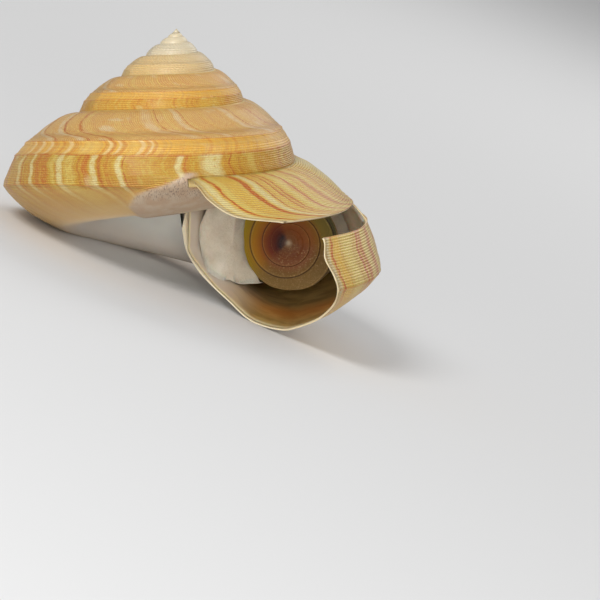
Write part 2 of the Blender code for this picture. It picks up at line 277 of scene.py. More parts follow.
class ShellGrid:
    """The shell's points on a grid of rows and columns, and the faces that join them."""

    def __init__(self):
        parts = [start + np.arange(steps) / steps for start, steps in enumerate(STEPS)]
        self.places = np.concatenate([*parts, [len(STEPS)]])
        self.rows = np.arange(-int(WHORLS * 360 / ROW_ANGLE), 1)
        self.first = self.rows[0]
        self.seat = self.column("seat")
        self.keel = self.column("keel")
        self.join = self.column("funnel_outer")
        self.last = len(self.places) - 1
        self.slit = (self.column("slit_top"), self.column("slit_bottom"))
        self.slit_end = SLIT_END // ROW_ANGLE
        self.hollow = HOLLOW_ANGLE // ROW_ANGLE
        self.suture_rows = (360 - round(OUTLINE["suture"][2] - OUTLINE["seat"][2])) // ROW_ANGLE
        self.column_rows = (360 - round(OUTLINE["column_high"][2] - OUTLINE["funnel_outer"][2])) // ROW_ANGLE
        self.points = []
        self.count = 0
        self.faces = []
        self.corners = []
        self.make_outer()
        self.make_inner()

    def column(self, name):
        return int(np.argmin(np.abs(self.places - SPOT[name])))

    def keep(self, points):
        """Store points and return their numbers, in the shape of the grid they came in."""
        shape = points.shape[:-1]
        numbers = self.count + np.arange(int(np.prod(shape))).reshape(shape)
        self.points.append(points.reshape(-1, 3))
        self.count += numbers.size
        return numbers

    def make_outer(self):
        place, row = np.meshgrid(self.places, self.rows * ROW_ANGLE)
        row = row.astype(float)
        angle = row + lead(place, row)
        source = slide(place, angle)
        away, down = outward(source)
        height = relief(place, row)
        hidden = (row < -self.suture_rows * ROW_ANGLE - 30) & (place > SPOT["seat"])
        height = np.where(hidden, 0, height)
        callus = callus_cover(place, angle, 3 * CALLUS_SOFT) * smoothstep((19 - place) / 2)
        height = height * (1 - callus) + CALLUS_HEIGHT * callus * smoothstep((angle + 400) / 20)
        radius = outline_radius(source) + away * height
        depth = outline_depth(source) + down * height
        self.outer_angle = angle
        self.outer = self.keep(coil_point(radius, depth, angle))
        shared = self.rows - self.suture_rows >= self.first
        self.outer[shared, 0] = self.outer[np.nonzero(shared)[0] - self.suture_rows, self.seat]

    def outer_at(self, row):
        return row - self.first

    def make_inner(self):
        rows = np.arange(self.hollow, 1)
        place, row = np.meshgrid(self.places, rows * ROW_ANGLE)
        row = row.astype(float)
        angle = row + lead(place, row)
        away, down = outward(place)
        thick = wall_thickness(place, row)
        radius = outline_radius(place) - away * thick
        depth = outline_depth(place) - down * thick
        points = coil_point(radius, depth, angle)
        every = np.concatenate(self.points)
        roof = every[self.outer[self.outer_at(rows - self.suture_rows), self.keel]]
        column = every[self.outer[self.outer_at(rows - self.column_rows), self.join]]
        first = int(np.argmin(np.abs(self.places - 1)))
        for number in range(first):
            share = smoothstep(self.places[number]) ** 0.8
            points[:, number] = roof * (1 - share) + points[:, first] * share
        start = int(np.argmin(np.abs(self.places - (len(NAMES) - 2))))
        for number in range(start + 1, self.last):
            share = self.places[number] - (len(NAMES) - 2)
            points[:, number] = points[:, start] * (1 - share) + column * share
        self.inner_angle = angle
        self.inner = self.keep(points)
        self.inner[:, 0] = self.outer[self.outer_at(rows - self.suture_rows), self.keel]
        self.inner[:, self.last] = self.outer[self.outer_at(rows - self.column_rows), self.join]

    def inner_at(self, row):
        return row - self.hollow

    def add(self, numbers, rows, columns, angles, inside):
        """Quads or triangles: point numbers, and for each corner its row, column and growth angle."""
        numbers = np.asarray(numbers)
        place = self.places[np.asarray(columns)]
        turn = np.asarray(angles, dtype=float) / 360
        growth_line = turn - lip_lead(place) / 360
        inner = np.full(place.shape, float(inside))
        arc = arc_length(place) / MM
        callus = callus_cover(place, turn * 360) * (inner < 0.5)
        data = np.stack([growth_line, place, turn, inner, callus, arc], axis=-1)
        self.faces.append(numbers)
        self.corners.append(data)

    def sheet(self, side, first, last, start, end):
        """The quads between two columns and two rows, on the outer or the inner wall."""
        numbers, angles, at = ((self.outer, self.outer_angle, self.outer_at) if side == "outer"
                               else (self.inner, self.inner_angle, self.inner_at))
        columns, rows = np.meshgrid(np.arange(first, last), np.arange(start, end))
        columns = columns.ravel()
        rows = rows.ravel()
        open_slit = ((columns >= self.slit[0]) & (columns < self.slit[1]) & (rows >= self.slit_end))
        columns = columns[~open_slit]
        rows = rows[~open_slit]
        row_corners = np.stack([rows, rows + 1, rows + 1, rows], axis=-1)
        column_corners = np.stack([columns, columns, columns + 1, columns + 1], axis=-1)
        if side == "inner":
            row_corners = row_corners[:, ::-1]
            column_corners = column_corners[:, ::-1]
        self.add(numbers[at(row_corners), column_corners], row_corners, column_corners,
                 angles[at(row_corners), column_corners], side == "inner")

    def rim(self, spots):
        """The narrow faces between a line of outer points and the inner ones at the same rows and columns."""
        for one, two in zip(spots, spots[1:]):
            corners = [("outer", *one), ("outer", *two), ("inner", *two), ("inner", *one)]
            self.polygon(corners, 0.5)

    def polygon(self, corners, inside):
        """One face from (side, row, column) corners. Corners that are the same point count once."""
        picked = {}
        for side, row, column in corners:
            if side == "outer":
                number = int(self.outer[self.outer_at(row), column])
                angle = self.outer_angle[self.outer_at(row), column]
            elif side == "inner":
                number = int(self.inner[self.inner_at(row), column])
                angle = self.inner_angle[self.inner_at(row), column]
            else:
                number = side
                angle = row * ROW_ANGLE
            picked.setdefault(number, (row, column, angle))
        if len(picked) > 2:
            rows, columns, angles = zip(*picked.values())
            self.add([list(picked)], [rows], [columns], [angles], inside)

    def fan(self, centre, centre_row, centre_column, spots, inside):
        for one, two in zip(spots, spots[1:]):
            self.polygon([(centre, centre_row, centre_column), one, two], inside)

    def build(self):
        self.sheet("outer", 0, self.seat, self.first, 0)
        self.sheet("outer", self.seat, self.keel, -self.suture_rows, 0)
        self.sheet("outer", self.keel, self.join, self.hollow - self.column_rows, 0)
        self.sheet("outer", self.join, self.last, -self.column_rows, 0)
        self.sheet("inner", 0, self.last, self.hollow, 0)
        self.close_slit()
        self.close_lip()
        self.close_axis()
        self.close_tube()
        self.close_tip()

    def close_slit(self):
        for column, forward in ((self.slit[0], True), (self.slit[1], False)):
            rows = range(self.slit_end, 1)
            spots = [(row, column) for row in (rows if forward else reversed(rows))]
            self.rim(spots)
        spots = [(self.slit_end, column) for column in range(self.slit[1], self.slit[0] - 1, -1)]
        self.rim(spots)

    def close_lip(self):
        for start, end in ((0, self.slit[0]), (self.slit[1], self.last)):
            spots = [(0, column) for column in range(start, end + 1)]
            self.rim(spots)
        older = [("outer", -self.column_rows, column) for column in range(self.join, self.last + 1)]
        self.axis = int(self.keep(np.array([[0.0, 0.0, -FUNNEL_BOTTOM]]))[0])
        older.append((self.axis, -self.column_rows, self.last))
        for one, two in zip(older, older[1:]):
            self.polygon([("outer", 0, self.last), one, two], 0)

    def close_axis(self):
        spots = [("outer", row, self.last) for row in range(-self.column_rows, 1)]
        self.fan(self.axis, -self.column_rows, self.last, spots, 0)

    def close_tube(self):
        row = self.hollow
        spots = [("inner", row, column) for column in range(0, self.last + 1)]
        spots += [("outer", row - self.column_rows, column) for column in range(self.join, self.keel - 1, -1)]
        spots += [("outer", older, self.keel)
                  for older in range(row - self.column_rows, row - self.suture_rows + 1)]
        every = np.concatenate(self.points)
        numbers = [self.inner[0, column] if side == "inner" else self.outer[self.outer_at(place), column]
                   for side, place, column in spots]
        centre = int(self.keep(every[numbers].mean(axis=0)[None])[0])
        self.fan(centre, row, self.keel, spots, 1)

    def close_tip(self):
        tip = int(self.keep(np.zeros((1, 3)))[0])
        spots = [("outer", self.first, column) for column in range(self.seat, -1, -1)]
        spots += [("outer", row, 0) for row in range(self.first + 1, self.first + self.suture_rows + 1)]
        self.fan(tip, self.first, 0, spots, 0)


def mesh_object(name, points, faces, corners):
    """A mesh object from points and groups of faces, with the corner values as attributes."""
    used = np.unique(np.concatenate([group.ravel() for group in faces]))
    renumber = np.full(len(points), -1)
    renumber[used] = np.arange(len(used))
    data = bpy.data.meshes.new(name)
    loops = np.concatenate([renumber[group].ravel() for group in faces])
    sizes = np.concatenate([np.full(len(group), group.shape[1]) for group in faces])
    starts = np.concatenate([[0], np.cumsum(sizes)[:-1]])
    data.vertices.add(len(used))
    data.vertices.foreach_set("co", points[used].ravel())
    data.loops.add(len(loops))
    data.loops.foreach_set("vertex_index", loops)
    data.polygons.add(len(sizes))
    data.polygons.foreach_set("loop_start", starts)
    data.polygons.foreach_set("loop_total", sizes)
    data.update(calc_edges=True)
    data.polygons.foreach_set("use_smooth", np.ones(len(sizes), dtype=bool))
    values = np.concatenate([group.reshape(-1, group.shape[-1]) for group in corners])
    for title, picked in (("coil", (0, 1, 2)), ("zone", (3, 4, 5))):
        attribute = data.attributes.new(title, "FLOAT_VECTOR", "CORNER")
        attribute.data.foreach_set("vector", values[:, picked].ravel())
    made = bpy.data.objects.new(name, data)
    bpy.context.collection.objects.link(made)
    return made


def worn_flat(points):
    """Flatten what would reach below the surface that the shell lies on."""
    points[:, 2] = np.maximum(points[:, 2], 0)
    return points


def to_rest(points):
    turn = np.array(rest_matrix().to_3x3())
    return points @ turn.T + np.array(REST_PLACE)


# Materials. A colour is written as its screen code, such as "E0A64A".

def linear(code, alpha=1):
    """A colour code as the linear values that a shader takes."""
    parts = [int(code[start:start + 2], 16) / 255 for start in (0, 2, 4)]
    return (*(part / 12.92 if part <= 0.04045 else ((part + 0.055) / 1.055) ** 2.4 for part in parts), alpha)


class Value:
    """A value in a material's nodes. Arithmetic with it adds the nodes that do it."""

    def __init__(self, tree, socket):
        self.tree = tree
        self.socket = socket

    def math(self, operation, *others):
        return add_node(self.tree, "ShaderNodeMath", (self, *others), operation=operation)

    def after(self, operation, number):
        """The same, with the number in front."""
        return add_node(self.tree, "ShaderNodeMath", (number, self), operation=operation)

    def __add__(self, other):
        return self.math("ADD", other)

    def __sub__(self, other):
        return self.math("SUBTRACT", other)

    def __rsub__(self, number):
        return self.after("SUBTRACT", number)

    def __mul__(self, other):
        return self.math("MULTIPLY", other)

    def __truediv__(self, other):
        return self.math("DIVIDE", other)

    def __rpow__(self, number):
        return self.after("POWER", number)


def fill(tree, socket, value):
    if isinstance(value, Value):
        tree.links.new(value.socket, socket)
    else:
        socket.default_value = linear(value) if isinstance(value, str) else value


def add_node(tree, kind, values, output=0, **settings):
    """Add a node, fill its inputs in their order or by name, and give back one of its outputs."""
    made = tree.nodes.new(kind)
    for key, value in settings.items():
        setattr(made, key, value)
    for key, value in values.items() if isinstance(values, dict) else enumerate(values):
        fill(tree, made.inputs[key], value)
    return Value(tree, made.outputs[output])


def noise_at(spot, scale, detail=2.0, rough=0.5, distortion=0.0):
    """Noise at a spot, which is one vector or three values."""
    if isinstance(spot, tuple):
        spot = add_node(spot[0].tree, "ShaderNodeCombineXYZ", spot)
    values = {"Vector": spot, "Scale": scale, "Detail": detail, "Roughness": rough, "Distortion": distortion}
    return add_node(spot.tree, "ShaderNodeTexNoise", values)


def step(value, low, high, bottom=0.0, top=1.0):
    """From bottom to top, smoothly, as value goes from low to high."""
    return add_node(value.tree, "ShaderNodeMapRange", (value, low, high, bottom, top),
                    interpolation_type="SMOOTHSTEP")


def band(value, start, end, soft):
    """1 between start and end, fading to 0 over the soft width on either side."""
    return step(value, start - soft, start + soft) * step(value, end - soft, end + soft, 1.0, 0.0)


def mix(share, one, two, blend="MIX"):
    values = {0: share, 6: one, 7: two}  # the numbers of a colour mix's sockets
    return add_node(share.tree, "ShaderNodeMix", values, 2, data_type="RGBA", blend_type=blend)


def ramp(value, stops):
    """The colour and the alpha of a ramp along a value. Its stops are places and colours with alpha."""
    made = value.tree.nodes.new("ShaderNodeValToRGB")
    elements = made.color_ramp.elements
    while len(elements) < len(stops):
        elements.new(0.5)
    for element, (spot, tint) in zip(elements, stops):
        element.position = spot
        element.color = tint
    fill(value.tree, made.inputs[0], value)
    return [Value(value.tree, output) for output in made.outputs]


def colours_along(value, *stops):
    return ramp(value, [(spot, linear(code)) for spot, code in stops])[0]


def bump(height, distance):
    return add_node(height.tree, "ShaderNodeBump", {"Height": height, "Distance": distance, "Strength": 1.0})


class Material:
    def __init__(self, name):
        self.data = bpy.data.materials.new(name)
        self.data.use_nodes = True
        self.tree = self.data.node_tree

    def attribute(self, title):
        """The three values of an attribute that mesh_object stores."""
        source = self.tree.nodes.new("ShaderNodeAttribute")
        source.attribute_name = title
        vector = Value(self.tree, source.outputs["Vector"])
        first = add_node(self.tree, "ShaderNodeSeparateXYZ", (vector,))
        return [Value(self.tree, output) for output in first.socket.node.outputs]

    def object_place(self):
        return add_node(self.tree, "ShaderNodeTexCoord", (), "Object")

    def shade(self, **values):
        """Fill the shader's sockets by name, with underscores for spaces."""
        shader = self.tree.nodes["Principled BSDF"]
        for key, value in values.items():
            fill(self.tree, shader.inputs[key.replace("_", " ")], value)
        return self.data


GOLD = "E2B03E"
YELLOW = "E6C05A"
ORANGE = "CC7624"
RED_ORANGE = "C05A10"
FLAME = "C86000"
CREAM = "E7D27E"
WHITE = "ECE4BE"
PALE_RAMP = "E6CEA0"
FLANK_SHADE = "EEE4B8"
LIP_SHADE = "E6D2A0"
NEWEST_SHADE = "ECECCE"
BAND_BROWN = "D09A48"
GROOVE_PAINTED_SHADE = "C07C3C"
SPIRE_CREAM = "DCC48A"
TIP_CREAM = "CDC1A6"
PEACH_GOLD = "DDB268"
PEACH = "E0C498"
PINK_WHITE = "E0D4C6"
NACRE = "EEEAE0"
CALLUS = "B09478"
CALLUS_LIGHT = "B8A48C"
CALLUS_DARK = "6F5B50"
RIM = "E4D4AC"
RIM_EDGE = "E4D2AC"
KHAKI = "AA8C52"
OLIVE = "8C6E38"
INNER_PINK = "F6ECDE"
INNER_GREY = "C4B6A4"

# Where the flames lie, by colour: growth line in degrees, half their width, and strength
FLANK_FLAMES = (
    (CREAM, ((-66, 1.2, 0.6), (-126, 1, 0.6), (-206, 1, 0.6), (-264.2, 0.8, 0.5), (-272.6, 2.4, 0.6),
        (-352, 2, 0.4))),
    (ORANGE, ((-74, 1.4, 0.6), (-93, 1.5, 0.5), (-117, 1.2, 0.6), (-147, 1.4, 0.5), (-171, 1.2, 0.6),
        (-198, 1.3, 0.6), (-229, 1.3, 0.6), (-255.4, 1.4, 0.55), (-259.6, 1.9, 0.6), (-279.8, 1.3, 0.8),
        (-289.2, 1, 0.4), (-299, 2.2, 0.2), (-321.2, 0.6, 0.8), (-338.6, 0.7, 0.3))),
    (WHITE, ((-82, 1.3, 0.7), (-104, 1.7, 0.75), (-133, 1.6, 0.7), (-158, 1.9, 0.7), (-184, 1.7, 0.75),
        (-214, 1.7, 0.7), (-242, 1.5, 0.5), (-251.7, 1, 0.85), (-267.6, 1.4, 0.75), (-283.3, 1.3, 0.95),
        (-293.9, 1, 0.7), (-318.5, 1.4, 0.85), (-332.6, 5, 0.85))),
    (RED_ORANGE, ((-277, 0.5, 0.4), (-285.9, 0.8, 0.55))),
)
RAMP_FLAMES = (
    (WHITE, ((-262, 2.5, 0.55), (-281.2, 2, 0.7), (-334, 3.2, 0.35), (-351, 1.7, 0.6), (-82, 9, 0.6),
        (-109, 4, 0.85), (-128, 3, 0.6), (-149.5, 3, 0.75), (-169, 2.2, 0.6), (-194, 2.6, 0.65),
        (-233, 1.5, 0.6), (-384, 2.5, 0.5), (-432, 3, 0.5), (-480, 3, 0.5), (-530, 3, 0.5),
        (-585, 3, 0.5), (-632, 3.5, 0.5))),
    (ORANGE, ((-266.5, 1, 0.7), (-296.2, 1.2, 0.7), (-115, 1.2, 0.6), (-154, 1.2, 0.6), (-181, 1.3, 0.6),
        (-209, 1.4, 0.55), (-405, 1.5, 0.5), (-455, 1.5, 0.5), (-505, 2, 0.5), (-551, 1.6, 0.5),
        (-603, 1.4, 0.5))),
    (RED_ORANGE, ((-285, 0.9, 0.6),)),
    (CREAM, ((-300.5, 1.8, 0.5), (-339, 1, 0.6), (-345, 1, 0.6), (-355.5, 0.8, 0.6), (-221, 2, 0.6),
        (-668, 2, 0.5))),
)
LIP_FLAMES = (
    (RIM, ((-1, 0.9, 0.8),)),
    (WHITE, ((-3.2, 1.5, 0.6), (-20.6, 1.4, 0.6))),
    (FLAME, ((-6, 0.55, 0.85), (-17.4, 1.05, 0.95), (-37.2, 0.8, 0.9))),
    (CREAM, ((-8.3, 1.2, 0.7), (-33, 1.4, 0.6), (-40, 1, 0.7), (-50, 1.2, 0.6))),
    (YELLOW, ((-13, 2, 0.5),)),
    (ORANGE, ((-27.4, 0.45, 0.8), (-29.8, 0.45, 0.75), (-46, 1.5, 0.55), (-55, 0.8, 0.5),
        (-62, 1, 0.45))),
)
LOWER_LIP_FLAMES = (
    (RIM, ((-1, 0.8, 0.8),)),
    (FLAME, ((-2.9, 0.6, 0.8), (-16.6, 0.7, 0.9))),
    (YELLOW, ((-5.2, 1.4, 0.6),)),
    (CREAM, ((-10.2, 2.6, 0.75), (-22, 1.3, 0.5), (-30, 1, 0.6))),
    (ORANGE, ((-19.2, 0.9, 0.8), (-26.5, 1.6, 0.6), (-37, 1.2, 0.6), (-46, 1.5, 0.5), (-56, 1.5, 0.45))),
)
BAND_FLAMES = (  # crescents in the band that the slit leaves behind, by growth angle
    (WHITE, ((-246, 1, 0.8), (-253, 1.2, 0.8), (-259, 1, 0.8), (-270.5, 1.2, 0.8), (-289.6, 0.8, 0.9),
        (-293.8, 0.7, 0.9), (-303.6, 1, 0.9), (-307.6, 0.6, 0.8))),
    (ORANGE, ((-249.5, 0.9, 0.7), (-262, 0.8, 0.7), (-274, 0.6, 0.7), (-306, 0.5, 0.8), (-333.6, 1, 0.8),
        (-341.5, 0.8, 0.5), (-346.4, 0.8, 0.6))),
    (RED_ORANGE, ((-266.5, 0.7, 0.8), (-287.4, 0.5, 0.7), (-291.4, 0.7, 0.9), (-296, 0.8, 0.9),
        (-309.2, 0.6, 0.85))),
    (CREAM, ((-281, 5, 0.6),)),
    (YELLOW, ((-300, 1.6, 0.8),)),
)
SPOTS = (  # pale blobs: growth line, place on the outline, half sizes, colour, strength
    (-311, 2.62, 4.2, 0.34, WHITE, 0.95), (-317, 1.72, 5, 0.16, WHITE, 0.8),
    (-334, 2.55, 3, 0.42, WHITE, 0.7), (-351, 1.45, 2, 0.6, WHITE, 0.8),
    (-653.7, 2.51, 5, 0.30, WHITE, 0.6), (-707.4, 6.41, 2.2, 0.12, OLIVE, 0.9),
    (-704.6, 6.3, 1.6, 0.14, NACRE, 0.8), (-249, 11.74, 6, 0.8, ORANGE, 0.45),
    (-280.7, 9.1, 2, 1.2, WHITE, 0.5), (-276.6, 10.7, 4, 0.8, CREAM, 0.5),
)
BEAD_SPACING = 0.44  # of the cords, in mm at lip size
THREAD_SPACING = 1.15  # of the growth threads, in degrees
FLAMES_TOGETHER = 7  # in one ramp, because a shader holds only so many values at once
FLAME_STRENGTH = 1.4
FLAME_STOPS = ((-1.3, 0), (-0.5, 1), (0.5, 1), (1.3, 0))  # half widths from a flame's centre, and its share


def add_flames(tint, line, cover, flames):
    """Flames along the growth lines, each a stretch of a ramp. A white one has an orange line beside it."""
    painted = [(centre, half, shade, strength)
               for shade, places in flames for centre, half, strength in places]
    painted += [(centre - 1.5 * half - 0.5, 0.4, RED_ORANGE, 0.6)
                for centre, half, shade, _ in painted if shade == WHITE]
    painted.sort()
    for start in range(0, len(painted), FLAMES_TOGETHER):
        group = painted[start:start + FLAMES_TOGETHER]
        first = group[0][0] - 2 * group[0][1] - 1
        last = group[-1][0] + 2 * group[-1][1] + 1
        stops = []
        reached = 0.0
        for centre, half, shade, strength in group:
            for off, part in FLAME_STOPS:
                reached = min(0.999, max(reached + 0.0005, (centre + off * half - first) / (last - first)))
                stops.append((reached, linear(shade, min(1, FLAME_STRENGTH * strength) * part)))
        paint, share = ramp((line - first) * (1 / (last - first)), stops)
        tint = mix(share * cover, tint, paint)
    return tint


def coil_waves(value, turn, spacing):
    """0 to 1 and back once in each spacing, which doubles, as counted at lip size, with each older whorl."""
    level = (turn + 1.7).math("FLOOR").math("MINIMUM", 0.0)
    phase = value * 2.0 ** level * (math.tau / spacing)
    return phase.math("COSINE") * 0.5 + 0.5


def shell_outside(line, place, turn, arc):
    """The colour of the outer wall: gold with orange and white flames along the growth lines."""
    older = step(turn, (BAND_NEW + 8) / 360, (BAND_NEW + 8 - BAND_CHANGE) / 360)
    top = older * (BAND_TOP - SPOT["slit_top"]) + SPOT["slit_top"]
    bottom = older * (BAND_BOTTOM - SPOT["slit_bottom"]) + SPOT["slit_bottom"]
    below_top = place - top
    above_bottom = bottom - place
    in_band = step(below_top, -0.01, 0.05) * step(above_bottom, -0.01, 0.05)
    across = below_top / (bottom - top) * 2.0 - 1.0
    curve = (1.0 - across * across).math("MAXIMUM", 0.0).math("SQRT")
    degrees = line * 360.0

    wide = noise_at((degrees * 0.13, place * 0.9, 1.0), 1.0)
    fine = noise_at((degrees * 1.1, place * 3.5, 2.0), 1.0)
    moved = degrees + ((wide - 0.5) * 2.4 + (fine - 0.5) * 1.4)
    torn = noise_at((degrees * 0.35, place * 2.6, 5.0), 1.0, 3.0, 0.65)
    torn = step(torn, 0.32, 0.55, 0.4, 1.15)

    # Gold and yellow, with streaks and broad flames that no table lists
    ground = noise_at((moved * 0.055, place * 0.35, 3.0), 1.0, 3.0)
    tint = mix(step(ground, 0.36, 0.62), GOLD, YELLOW)
    streak = noise_at((moved * 0.42, place * 0.22, 7.0), 1.0, 3.0, 0.6)
    tint = mix(step(streak, 0.52, 0.70) * 0.60, tint, ORANGE)
    tint = mix(step(streak, 0.46, 0.32) * torn * 0.8, tint, CREAM)
    flame = noise_at((moved * 0.11, place * 0.55, 19.0), 1.0)
    tint = mix(band(flame, 0.585, 0.60, 0.012) * 0.30, tint, RED_ORANGE)
    tint = mix(step(flame, 0.60, 0.70) * torn * 0.6, tint, WHITE)

    upper = step(below_top, 0.05, -0.05)
    pale = upper * step(turn, -0.16, -0.24) * step(streak, 0.3, 0.6, 0.12, 0.34)
    tint = mix(pale, tint, PALE_RAMP)
    flank = step(above_bottom, 0.05, -0.05)
    fading = flank * step(place, 12.5, 9.5, 0.15, 1.0)
    settled = step(turn, -0.14, -0.24)
    tint = mix(flank * settled, tint, FLANK_SHADE, "MULTIPLY")
    tint = mix(flank * (1.0 - settled), tint, LIP_SHADE, "MULTIPLY")
    new = step(turn, -0.20, -0.08) * step(streak, 0.62, 0.40, 0.25, 0.58)
    tint = mix(new, tint, CREAM)

    tint = add_flames(tint, moved, upper * (torn * 0.25 + 0.9), LIP_FLAMES)
    tint = add_flames(tint, moved, upper * torn, RAMP_FLAMES)
    tint = add_flames(tint, moved, fading * torn, FLANK_FLAMES)
    tint = add_flames(tint, moved, fading * 1.15, LOWER_LIP_FLAMES)
    for centre, middle, half, tall, shade, strength in SPOTS:
        over = (moved - centre) * (1 / half)
        down = (place - middle) * (1 / tall)
        far = over * over + down * down + (fine - 0.5) * 2.2
        tint = mix(step(far, 1.4, 0.3) * strength, tint, shade)

    # The band: crescents where it is older, golden with red edges towards the right of the front
    crescents = turn * 360.0 + (curve - 0.6) * 3.0 + (fine - 0.5) * 0.6
    band_streak = noise_at((crescents * 0.5, 0.0, 23.0), 1.0, 3.0, 0.6)
    band_tint = mix(step(band_streak, 0.42, 0.62), GOLD, BAND_BROWN)
    band_tint = mix(step(band_streak, 0.40, 0.30) * 0.5, band_tint, WHITE)
    band_tint = add_flames(band_tint, crescents, 0.55, BAND_FLAMES)
    band_tint = mix(band(across, -0.12, 0.10, 0.08) * 0.3, band_tint, CREAM)
    tint = mix(in_band * 0.8, tint, band_tint)
    for side in (below_top, above_bottom):
        edge = band(side, -0.05, 0.06, 0.07)
        tint = mix(edge * step(streak, 0.3, 0.6, 0.3, 1.0) * 0.75, tint, RED_ORANGE)

    # Cords, with beads where growth threads cross them
    cord = coil_waves(arc, turn, BEAD_SPACING)
    thread = coil_waves(degrees, turn, THREAD_SPACING)
    on_ramp = upper * step(turn, -0.16, -0.20)
    share = on_ramp * 0.5 + 0.4
    beads = cord * (thread * share + (1.0 - share))
    lined = step(place, 14.2, 12.0) * step(turn, -5.0, -3.2) * (in_band * -0.2 + 1.0)
    # Painted shade darkens the troughs between the beaded cords, and a painted highlight lightens the bead
    # tops
    tint = mix((1.0 - beads) * (lined * (on_ramp * 0.25 + 0.40)), tint, GROOVE_PAINTED_SHADE, "MULTIPLY")
    tint = mix(beads * lined * (on_ramp * 0.32 + 0.18), tint, CREAM)
    grain = noise_at((degrees * 1.2, arc * 1.9, 11.0), 1.0, 3.0, 0.65)
    tint = mix(step(grain, 0.54, 0.66) * lined * (on_ramp * 0.25 + 0.3), tint, CREAM)
    tint = mix(step(grain, 0.46, 0.34) * lined * (on_ramp * 0.15 + 0.3), tint, ORANGE)
    tint = mix(band(place, KEEL_LINE, KEEL_LINE + 0.1, 0.06) * 0.6, tint, ORANGE)

    # The newest whorl's flank and lip are the most golden
    newest = step(place, 6.0, 6.6).math("MAXIMUM", step(turn, -0.24, -0.14)) * step(turn, -1.25, -1.05)
    tint = mix(newest, tint, NEWEST_SHADE, "MULTIPLY")

    # The base, from peach to nearly white at its bulge and in the funnel, the suture, and the pale tip
    tint = mix(step(place, 9.3, 10.6) * 0.45, tint, PEACH_GOLD)
    tint = mix(step(place, 10.6, 13.4) * 0.55, tint, PEACH)
    tint = mix(step(place, 12.8, 14.8), tint, PINK_WHITE)
    tint = mix(step(place, 15.0, 16.6), tint, NACRE)
    tint = mix(step(place, 0.30, 0.06) * 0.5, tint, CREAM)
    tint = mix(step(turn, -2.0, -2.8) * 0.45, tint, SPIRE_CREAM)
    tint = mix(step(turn, -2.3, -3.8) * 0.9, tint, TIP_CREAM)
    return tint, beads * lined


def shell_material():
    shell = Material("slit_shell")
    line, place, turn = shell.attribute("coil")
    inside, callus, arc = shell.attribute("zone")
    tint, relief_height = shell_outside(line, place, turn, arc)
    spot = shell.object_place()

    mottle = noise_at(spot, 420.0, 4.0, 0.6)
    scratch = noise_at((turn * 900.0, place * 2.2, 0.0), 1.0, 3.0, 0.6)
    flesh = mix(step(mottle, 0.35, 0.65), CALLUS, CALLUS_LIGHT)
    flesh = mix(step(scratch, 0.52, 0.64) * step(place, 12.0, 10.0), flesh, CALLUS_DARK)
    flesh = mix(step(place, 14.0, 16.0), flesh, NACRE)
    tint = mix(callus, tint, flesh)

    # The tube's floor in khaki and olive: partly the outer colour seen through the thin wall, partly painted
    # shade
    floor = noise_at((line * 60.0, place * 0.8, 0.0), 1.0, 3.0, 0.6)
    inner = mix(step(floor, 0.4, 0.62), KHAKI, OLIVE)
    near_lip = band(line, -0.075, -0.035, 0.02) * band(place, 11.5, 15.5, 1.0)
    inner = mix(near_lip * 0.5, inner, ORANGE)
    inner = mix(step(place, 10.5, 8.8), inner, INNER_PINK)
    inner = mix(step(place, 14.8, 17.0), inner, INNER_GREY)
    inner = mix(step(line, -0.012, -0.004), inner, RIM)
    is_inner = step(inside, 0.6, 0.9)
    tint = mix(is_inner, tint, inner)
    rim = band(inside, 0.4, 0.6, 0.05) * step(place, 0.5, 2.5, 0.3, 0.85)
    tint = mix(rim, tint, RIM_EDGE)

    smooth = 1.0 - callus.math("MAXIMUM", step(inside, 0.1, 0.4))
    height = relief_height * smooth + noise_at(spot, 1500.0, 3.0, 0.6) * 0.12
    return shell.shade(Base_Color=tint, Roughness=0.44, Normal=bump(height, 0.00012), Coat_Weight=0.12,
                       Coat_Roughness=0.25, Subsurface_Weight=is_inner * 0.35 + 0.2,
                       Subsurface_Radius=(1.0, 0.7, 0.45), Subsurface_Scale=0.001)


def build_shell():
    grid = ShellGrid()
    grid.build()
    points = worn_flat(to_rest(np.concatenate(grid.points)))
    made = mesh_object("shell_surface", points, grid.faces, grid.corners)
    made.data.materials.append(shell_material())
    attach(made, "root")
    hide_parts("shell")


# The operculum

LID_CENTRE = Vector((20.1, -3.2, -33.2)) * MM
LID_RADIUS = 7.55 * MM
LID_FLAP = 0.75 * MM  # how far its margin sticks out towards the upper left
LID_FLAP_ANGLE = math.radians(207)
LID_WANDER = ((3, 0.006, 1), (7, 0.004, 0), (19, 0.003, 2))  # waves of the margin: a turn, height, shift
LID_DISH = 0.7 * MM
LID_EDGE = 0.3 * MM  # its thickness, and what is left of it at the margin
LID_MARGIN = 0.12 * MM
LID_NUCLEUS = Vector((-0.5, 0.0)) * MM
LID_COIL = 5.2  # radius in mm of a coil's margin, on the right
LID_GROWTH = 1.47  # how much wider each coil is than the one before
LID_RIDGE = 0.10  # heights in mm of the coils' margins, and of the lines along and across them
LID_LINES = 0.012
LID_STREAKS = 0.016
LID_STEPS = 240
LID_RINGS = 100


def lid_relief(radius, angle):
    """The raised margins of the coils on the outer face, and the fine lines across and along them."""
    turns = np.log(np.maximum(radius / MM, 0.05) / LID_COIL) / math.log(LID_GROWTH)
    turns -= np.mod(angle, math.tau) / math.tau
    part = turns - np.floor(turns)
    ridge = np.where(part > 0.88, (1 - part) / 0.12, part / 0.88)
    streaks = np.sin(angle * 61 + turns * 3) * np.sin(angle * 37 + 1)
    height = LID_RIDGE * ridge + LID_LINES * np.sin(math.tau * turns * 9) + LID_STREAKS * streaks
    return height * MM * smoothstep(radius / MM)


